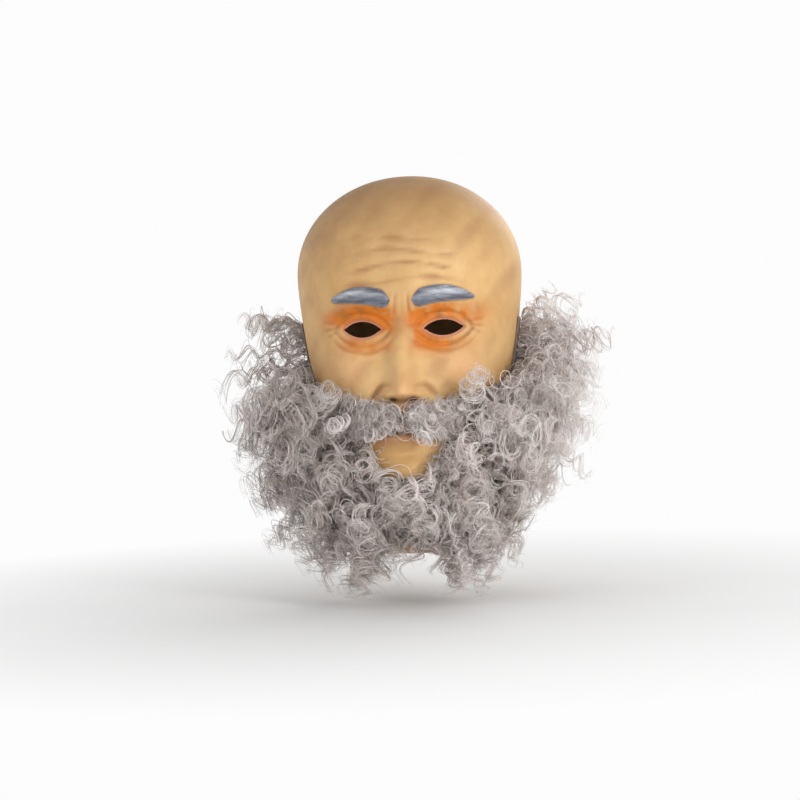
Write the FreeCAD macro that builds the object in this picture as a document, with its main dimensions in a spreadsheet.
"""Over-the-head rubber costume mask: bald old man with a curly beard.

Millimetres, +Z up, the face looks towards -Y.  The origin is the centre of the neck opening, in the plane
of its hem.  Left and right are as seen by someone who faces the mask: left is -X.
"""
import FreeCAD
import Part
import math
import os

Vector = FreeCAD.Vector

SIZES = (
    ("crown_level", 310, "crown above the neck hem"),
    ("widest_level", 228, "level where the skull is widest"),
    ("crown_setback", 10, "crown behind the middle of the neck"),
    ("dome_fullness", 2.04, "exponent of the dome, 2 is an ellipse"),
    ("section_fullness", 2.15, "exponent of the level sections, 2 is an ellipse"),
    ("wall", 2, "thickness of the rubber"),
    ("eye_level", 185, "middle of the eyes, half way between chin and crown"),
    ("eye_offset", 33, "middle of each eye from the middle of the face"),
    ("eye_width", 31, "width of each eye opening"),
    ("eye_height", 13, "height of each eye opening"),
    ("nose_level", 136, "tip of the nose"),
    ("nose_height", 18, "how far the ridge of the nose stands out of the face"),
    ("nostril_offset", 8, "middle of each nostril from the middle of the face"),
    ("nostril_diameter", 4, "diameter of each breathing hole"),
    ("mouth_level", 102, "line between the lips"),
    ("mouth_width", 52, "width of the lips"),
    ("mouth_slit_width", 34, "width of the breathing slit between the lips"),
    ("mouth_slit_height", 2.4, "height of the breathing slit between the lips"),
    ("chin_level", 68, "middle of the chin"),
    ("nape_slit_width", 1.6, "width of the slit at the back of the neck"),
    ("nape_slit_height", 56, "height of the slit at the back of the neck"),
    ("cloth_gap", 0.5, "glue line between rubber and cloth, and cloth and hair"),
    ("cloth_thickness", 1.4, "thickness of the knitted backing cloth"),
    ("cutter_depth", 70, "depth of the shapes that cut the openings"),
)

# level, half width, reach to the front, reach to the back
SECTIONS = (
    (-20, 76, 69, 84),
    (0, 72, 64, 80),
    (24, 65, 57, 76),
    (40, 65, 61, 78),
    (52, 66, 74, 80),
    (64, 68, 88, 83),
    (78, 70, 94, 87),
    (96, 73, 95, 92),
    (124, 78, 94, 100),
    (160, 86, 93, 108),
    (195, 91, 95, 111),
    (228, 93.5, 96, 112),
)

# landmark, level above it, x, spread in level, spread in x, height; an x above zero stands for a pair
FACE_FORMS = (
    ("eye_level", 21, 26, 9, 20, 5.0),  # ridge over the eye
    ("eye_level", 2, 33, 13, 19, -9.0),  # socket
    ("eye_level", -1, 33, 10, 14, 6.5),  # lids over the eyeball
    ("eye_level", -15, 34, 4, 15, 1.4),  # bag under the eye
    ("eye_level", 24, 0, 8, 9, 1.0),  # between the brows
    ("nose_level", 16, 50, 17, 19, 5.5),  # cheekbone
    ("nose_level", 1, 0, 9, 11, 5.0),  # tip of the nose
    ("nose_level", -4, 13.5, 6.5, 5.5, 8.0),  # wing of the nose
    ("mouth_level", 16, 44, 18, 16, 2.0),  # cheek
    ("mouth_level", 6, 0, 20, 27, 6.0),  # round of the mouth
    ("chin_level", 16, 0, 5, 17, -3.5),  # hollow under the lower lip
    ("chin_level", 0, 0, 12, 17, 9.0),  # chin
)

# level above the line between the lips, spread in level, height
LIPS = ((5.0, 4.2, 3.6), (-5.4, 4.6, 4.2), (0.0, 1.9, -2.2))
LIP_CORNER_RISE = 1.2

# nose, as levels above the eyes and above its tip, then its half widths at the bridge and at the tip
NOSE_ROOT_ABOVE_EYES = 23
NOSE_BRIDGE_ABOVE_EYES = 7
NOSE_BRIDGE_SHARE = 0.16
NOSE_BASE_BELOW_TIP = 12
NOSE_TIP_RISE = 10
NOSE_HALF_WIDTHS = (10.0, 12.5)
NOSE_FULLNESS = 2.2

# raised brow: lowest level above the eyes, arch, first and last x, spread in level, height
BROW_ABOVE_EYES = 23
BROW_ARCH = 5.0
BROW_START, BROW_END = 9, 61
BROW_SPREAD = 5.5
BROW_HEIGHT = 2.2

# the forms of the face fade out between these angles from its middle
FACE_FULL_ANGLE = 48
FACE_EDGE_ANGLE = 78

# planes in which the cutters for the openings start
FRONT_PLANE = -130
NAPE_PLANE = 50
NOSTRIL_FACE_PLANE = -98

NORMAL_STEP = 0.5
NET_DEGREES = 3.5
NET_STEP = 4.0


def blend(start, end, value):
    """Smooth step from 0 at start to 1 at end."""
    share = min(1.0, max(0.0, (value - start) / (end - start)))
    return share * share * (3 - 2 * share)


def bump(distance, spread):
    """Smooth hill of height 1 that is nearly flat beyond twice the spread."""
    return math.exp(-((distance / spread) ** 2))


def along(table, column, key):
    """Smooth curve through one column of a table whose first column rises."""
    last = len(table) - 1
    spot = 0
    while spot < last - 1 and key > table[spot + 1][0]:
        spot += 1

    def slope(row):
        if row in (0, last):
            return 0.0
        low, high = table[row - 1], table[row + 1]
        return (high[column] - low[column]) / (high[0] - low[0])

    low, high = table[spot], table[spot + 1]
    span = high[0] - low[0]
    share = min(1.0, max(0.0, (key - low[0]) / span))
    square, cube = share**2, share**3
    return (
        (2 * cube - 3 * square + 1) * low[column]
        + (cube - 2 * square + share) * span * slope(spot)
        + (3 * square - 2 * cube) * high[column]
        + (cube - square) * span * slope(spot + 1)
    )


def fill_sheet(doc):
    """The driving sizes, one alias each, and the section table beside them."""
    sheet = doc.addObject("Spreadsheet::Sheet", "Sizes")
    for row, (alias, value, meaning) in enumerate(SIZES, start=1):
        sheet.set(f"A{row}", meaning)
        sheet.set(f"B{row}", str(value))
        sheet.setAlias(f"B{row}", alias)
    for row, values in enumerate(SECTIONS, start=1):
        for letter, value in zip("DEFG", values):
            sheet.set(f"{letter}{row}", str(value))
    doc.recompute()
    return sheet


doc = FreeCAD.newDocument("old_man_mask")
sheet = fill_sheet(doc)
size = {alias: float(sheet.get(alias)) for alias, _, _ in SIZES}
rows = range(1, len(SECTIONS) + 1)
sections = [tuple(float(sheet.get(f"{letter}{row}")) for letter in "DEFG") for row in rows]


def nose(x, level):
    """How far the nose stands out at one place of the face."""
    eyes, tip = size["eye_level"], size["nose_level"]
    base = tip - NOSE_BASE_BELOW_TIP
    root, bridge = eyes + NOSE_ROOT_ABOVE_EYES, eyes + NOSE_BRIDGE_ABOVE_EYES
    down = blend(bridge + 6, tip, level)
    share = NOSE_BRIDGE_SHARE * blend(root, bridge, level) + (1 - NOSE_BRIDGE_SHARE) * down
    narrow, wide = NOSE_HALF_WIDTHS
    width = narrow + (wide - narrow) * down
    ridge = math.exp(-(abs(x / width) ** NOSE_FULLNESS))
    return size["nose_height"] * share * blend(base, base + NOSE_TIP_RISE, level) * ridge


def lips(x, level):
    """How far the lips stand out, with the line between them sunk in."""
    half = size["mouth_width"] / 2
    line = size["mouth_level"] + LIP_CORNER_RISE * (x / half) ** 2
    out = sum(height * bump(level - line - above, tall) for above, tall, height in LIPS)
    return out * blend(half + 3, half - 10, abs(x))


def brow(x, level):
    """How far the moulded brows stand out."""
    share = min(1.0, max(0.0, (abs(x) - BROW_START) / (BROW_END - BROW_START)))
    middle = size["eye_level"] + BROW_ABOVE_EYES + BROW_ARCH * math.sin(math.pi * share)
    ends = blend(BROW_START - 1, BROW_START + 5, abs(x)) * blend(BROW_END - 3, BROW_END - 11, abs(x))
    return BROW_HEIGHT * ends * bump(level - middle, BROW_SPREAD)


def relief(x, level):
    """How far the face stands out of the plain head at one place."""
    out = nose(x, level) + lips(x, level) + brow(x, level)
    for landmark, above, centre, tall, wide, height in FACE_FORMS:
        out += height * bump(abs(x) - centre, wide) * bump(level - size[landmark] - above, tall)
    return out


def skin(angle, rise):
    """Point of the outside of the head.

    The angle turns from the front of the face towards +X.  The rise counts millimetres up to the widest
    level, and degrees of the dome above it.
    """
    widest = size["widest_level"]
    level = min(rise, widest)
    _, half, front, back = (along(sections, column, level) for column in range(4))
    turn = math.radians(angle)
    across, ahead = math.sin(turn), math.cos(turn)
    reach = front if ahead > 0 else back
    power = size["section_fullness"]
    radius = ((abs(across) / half) ** power + (abs(ahead) / reach) ** power) ** (-1 / power)
    x, y = radius * across, -radius * ahead
    if rise > widest:
        tip = math.radians(min(90.0, rise - widest))
        shrink = max(0.0, math.cos(tip)) ** (2 / size["dome_fullness"])
        level = widest + (size["crown_level"] - widest) * math.sin(tip) ** (2 / size["dome_fullness"])
        x *= shrink
        y = y * shrink + size["crown_setback"] * (1 - shrink)
    wrapped = abs((angle + 180) % 360 - 180)
    y -= relief(x, level) * blend(FACE_EDGE_ANGLE, FACE_FULL_ANGLE, wrapped)
    return Vector(x, y, level)


def outward(angle, rise):
    """Unit normal of the outside of the head."""
    around = skin(angle + NORMAL_STEP, rise) - skin(angle - NORMAL_STEP, rise)
    up = skin(angle, rise + NORMAL_STEP) - skin(angle, rise - NORMAL_STEP)
    normal = around.cross(up)
    return normal.normalize()


def surface(poles, closed):
    """Smooth surface that follows a net of points, closed around the first index where asked."""
    rows, columns = len(poles), len(poles[0])
    if closed:
        row_counts, row_knots = [1] * (rows + 1), list(range(rows + 1))
    else:
        row_counts, row_knots = [4] + [1] * (rows - 4) + [4], list(range(rows - 2))
    counts, knots = [4] + [1] * (columns - 4) + [4], list(range(columns - 2))
    shape = Part.BSplineSurface()
    shape.buildFromPolesMultsKnots(poles, row_counts, counts, row_knots, knots, closed, False, 3, 3)
    return shape


def closed_solid(faces):
    """Solid inside faces that meet edge to edge."""
    tolerance = 0.001
    shell = Part.Shell(faces)
    shell.sewShape()
    if not isinstance(shell, Part.Shell):
        shell = shell.Shells[0]
    solid = Part.Solid(shell)
    if solid.Volume < 0:
        solid.reverse()
    solid.fix(tolerance, tolerance, tolerance)
    return solid


def head_net(depth):
    """Net of points of the head, a given depth inside its outside, with more columns over the face."""
    columns, rows, dome_rows = 96, 58, 19
    crowding = 0.35
    rises = [size["widest_level"] * row / rows for row in range(rows)]
    rises += [size["widest_level"] + 90 * row / dome_rows for row in range(dome_rows)]
    top = Vector(0, size["crown_setback"], size["crown_level"] - depth)
    net = []
    for column in range(columns):
        turn = 2 * math.pi * column / columns
        angle = math.degrees(turn - crowding * math.sin(turn))
        line = [skin(angle, rise) - outward(angle, rise) * depth for rise in rises]
        line[0].z = 0
        level_point = Vector(line[-1])
        level_point.z = top.z
        net.append(line[:-1] + [level_point, top])
    return net


def rubber_shell():
    """The whole rubber head before its openings are cut."""
    outside = surface(head_net(0), True).toShape()
    inside = surface(head_net(size["wall"]), True).toShape()

    def hem(face):
        return [edge for edge in face.Edges if edge.BoundBox.ZMax < 0.5 and edge.Length > 1]

    rim = Part.Face([Part.Wire(hem(outside)), Part.Wire(hem(inside))])
    return closed_solid([outside, inside, rim])


def lean(level):
    """Angle in degrees above the horizon in which hair stands out at one level of the head."""
    low = ((0, -80), (20, -72), (40, -60), (60, -42), (85, -26))
    high = ((115, -12), (150, 0), (195, 14), (235, 20))
    return along(low + high, 1, level)


def reach_of_hair(angle, level):
    """How far the hair stands out: longest beside the jaw, and drawn in low beside the neck."""
    turned = abs((angle + 180) % 360 - 180)
    around = ((0, 56), (40, 66), (80, 81), (105, 77), (135, 58), (180, 40))
    upwards = ((0, 0.85), (60, 0.95), (130, 1.0), (160, 0.95), (200, 0.8))
    drawn_in = 0.3 * blend(90, 40, level) * blend(25, 75, turned)
    return along(around, 1, turned) * along(upwards, 1, level) * (1 - drawn_in)


def hair_way(angle, level):
    """Direction in which hair stands out."""
    flat = outward(angle, level)
    flat.z = 0
    flat.normalize()
    tilt = math.radians(lean(level))
    return flat * math.cos(tilt) + Vector(0, 0, math.sin(tilt))


def cell_point(cell, across, up):
    """Angle and level at one place of a patch, both running from 0 to 1."""
    bottom, top, low, high = cell
    first, last = (start + (end - start) * up for start, end in zip(bottom, top))
    angle = first + (last - first) * across

    def edge(levels):
        start, middle, end = levels
        bow = 4 * middle - 2 * (start + end)
        return start + (end - start) * across + bow * across * (1 - across)

    return angle, edge(low) + (edge(high) - edge(low)) * up


def spread(count, margin):
    """Places from 0 to 1 with one extra place close to each end."""
    inner = [margin + (1 - 2 * margin) * step / (count - 1) for step in range(count)]
    return [0.0] + inner + [1.0]


def patch(cell, start, height, margin, counts):
    """Solid lying on the head: it starts a fixed distance above the rubber and ends where height says."""
    places = [[cell_point(cell, a, u) for u in spread(counts[1], margin)] for a in spread(counts[0], margin)]
    rows, columns = len(places), len(places[0])
    under, over = [], []
    for row, line in enumerate(places):
        low_line, high_line = [], []
        for column, (angle, level) in enumerate(line):
            foot = skin(angle, level) + outward(angle, level) * start
            low_line.append(foot)
            if row in (0, rows - 1) or column in (0, columns - 1):
                high_line.append(foot)
            else:
                high_line.append(foot + height(angle, level, row / (rows - 1), column / (columns - 1)))
        under.append(low_line)
        over.append(high_line)
    return closed_solid([surface(under, False).toShape(), surface(over, False).toShape()])


def net_counts(cell):
    """Net rows and columns that give a place every few millimetres."""
    bottom, top, low, high = cell
    wide = max(bottom[1] - bottom[0], top[1] - top[0])
    tall = max(end - start for start, end in zip(low, high))
    return max(8, round(wide / NET_DEGREES)), max(8, round(tall / NET_STEP))


def backing(cell):
    """Knitted cloth glued flat on the rubber."""

    def up(angle, level, across, along_cell):
        return outward(angle, level) * size["cloth_thickness"]

    return patch(cell, size["cloth_gap"], up, 0.02, net_counts(cell))


def hair(cell, length, droop):
    """Bulk of the curled hair on one piece of cloth."""

    edge_share, rounding = 0.12, 0.24

    def up(angle, level, across, along_cell):
        inward = min(1.0, min(across, 1 - across, along_cell, 1 - along_cell) / rounding)
        full = edge_share + (1 - edge_share) * math.sqrt(1 - (1 - inward) ** 2)
        way = hair_way(angle, level)
        way.z -= droop
        way.normalize()
        return way * (length * reach_of_hair(angle, level) * full)

    start = 2 * size["cloth_gap"] + size["cloth_thickness"]
    return patch(cell, start, up, 0.03, net_counts(cell))


def mirrored(cell):
    """The same patch on the other side of the face."""
    bottom, top, low, high = cell
    return ((-bottom[1], -bottom[0]), (-top[1], -top[0]), low[::-1], high[::-1])


# first and last angle along the lower and the upper edge, then levels at the start, middle and end of each
MOUSTACHE = ((1.5, 19), (1.5, 25), (108, 106, 102), (119, 120, 123))
CHEEK = ((14, 78), (28, 78), (72, 82, 98), (128, 134, 148))
CHIN = ((-76, 76), (-76, 76), (66, 43, 66), (94, 64, 94))
THROAT = ((-80, 80), (-80, 80), (30, 12, 30), (62, 40, 62))
SIDE = ((80.5, 126), (80.5, 126), (66, 70, 72), (190, 186, 172))
NAPE = ((129, 231), (129, 231), (72, 68, 72), (150, 144, 150))

# name, patch, share of the usual hair length, extra droop
PIECES = (
    ("moustache_left", mirrored(MOUSTACHE), 0.36, 0.6),
    ("moustache_right", MOUSTACHE, 0.36, 0.6),
    ("cheek_left", mirrored(CHEEK), 1.0, 0.0),
    ("cheek_right", CHEEK, 1.0, 0.0),
    ("chin", CHIN, 0.95, 0.0),
    ("throat", THROAT, 1.1, 0.0),
    ("side_left", mirrored(SIDE), 1.0, 0.0),
    ("side_right", SIDE, 1.0, 0.0),
    ("nape", NAPE, 1.0, 0.0),
)


def freeform(label, shape):
    """Object for a shape that no primitive describes."""
    piece = doc.addObject("Part::Feature", label)
    piece.Label = label
    piece.Shape = shape
    piece.Placement = FreeCAD.Placement()
    return piece


def bound(kind, label, expressions):
    """Primitive whose sizes follow the sheet."""
    piece = doc.addObject(kind, label)
    for name, formula in expressions.items():
        piece.setExpression(name, formula)
    return piece


def eye_outline(label, side):
    """Almond outline of one eye opening, drawn in a plane in front of the face."""
    half, tall = size["eye_width"] / 2, size["eye_height"] / 2
    tilt, skew = 0.8, 1
    inner = Vector(side * (size["eye_offset"] - half), 0, size["eye_level"] - tilt)
    outer = Vector(side * (size["eye_offset"] + half), 0, size["eye_level"] + tilt)
    top = Vector(side * (size["eye_offset"] - skew), 0, size["eye_level"] + tall)
    bottom = Vector(side * (size["eye_offset"] + skew), 0, size["eye_level"] - tall)
    arcs = [Part.Arc(inner, top, outer).toShape(), Part.Arc(outer, bottom, inner).toShape()]
    piece = freeform(label, Part.Face(Part.Wire(arcs)))
    piece.Placement.Base = Vector(0, FRONT_PLANE, 0)
    return piece


def cutters():
    """Shapes that cut the openings out of the rubber."""
    found = []
    for name, side in (("left", -1), ("right", 1)):
        outline = eye_outline(f"eye_outline_{name}", side)
        eye = bound("Part::Extrusion", f"eye_cutter_{name}", {"LengthFwd": "Sizes.cutter_depth"})
        eye.Base = outline
        eye.DirMode = "Custom"
        eye.Dir = Vector(0, 1, 0)
        eye.Solid = True
        found.append(eye)
        nostril = bound("Part::Cylinder", f"nostril_cutter_{name}", {
            "Radius": "Sizes.nostril_diameter / 2",
            "Height": "Sizes.nose_height",
            "Placement.Base.x": f"{side} * Sizes.nostril_offset",
            "Placement.Base.y": f"{NOSTRIL_FACE_PLANE} - 0.35 * Sizes.nose_height",
            "Placement.Base.z": "Sizes.nose_level - Sizes.nose_height",
        })
        found.append(nostril)
    found.append(bound("Part::Box", "mouth_cutter", {
        "Length": "Sizes.mouth_slit_width",
        "Width": "Sizes.cutter_depth",
        "Height": "Sizes.mouth_slit_height",
        "Placement.Base.x": "-Sizes.mouth_slit_width / 2",
        "Placement.Base.y": f"{FRONT_PLANE}",
        "Placement.Base.z": "Sizes.mouth_level - Sizes.mouth_slit_height / 2",
    }))
    found.append(bound("Part::Box", "nape_cutter", {
        "Length": "Sizes.nape_slit_width",
        "Width": "Sizes.cutter_depth",
        "Height": "Sizes.nape_slit_height + 10",
        "Placement.Base.x": "-Sizes.nape_slit_width / 2",
        "Placement.Base.y": f"{NAPE_PLANE}",
        "Placement.Base.z": "-10",
    }))
    return found


def build():
    """All pieces of the mask, each an object of its own."""
    pieces = []
    shell = freeform("uncut_head", rubber_shell())
    tools = doc.addObject("Part::MultiFuse", "opening_cutters")
    tools.Shapes = cutters()
    head = doc.addObject("Part::Cut", "latex_head")
    head.Base = shell
    head.Tool = tools
    head.Label = "latex_head"
    pieces.append(head)
    for name, cell, length, droop in PIECES:
        pieces.append(freeform(f"{name}_backing", backing(cell)))
        pieces.append(freeform(f"{name}_hair", hair(cell, length, droop)))
    doc.recompute()
    return pieces


def write(pieces):
    """Check every object, then write one file per piece."""
    for item in doc.Objects:
        bad = [state for state in item.State if state in ("Invalid", "Error")]
        if bad:
            raise RuntimeError(f"{item.Label}: {bad}")
    os.makedirs("parts", exist_ok=True)
    for piece in pieces:
        shape = piece.Shape
        if shape.isNull() or not shape.isValid():
            raise RuntimeError(f"{piece.Label} has no valid shape")
        shape.exportStep(f"parts/{piece.Label}.step")


write(build())
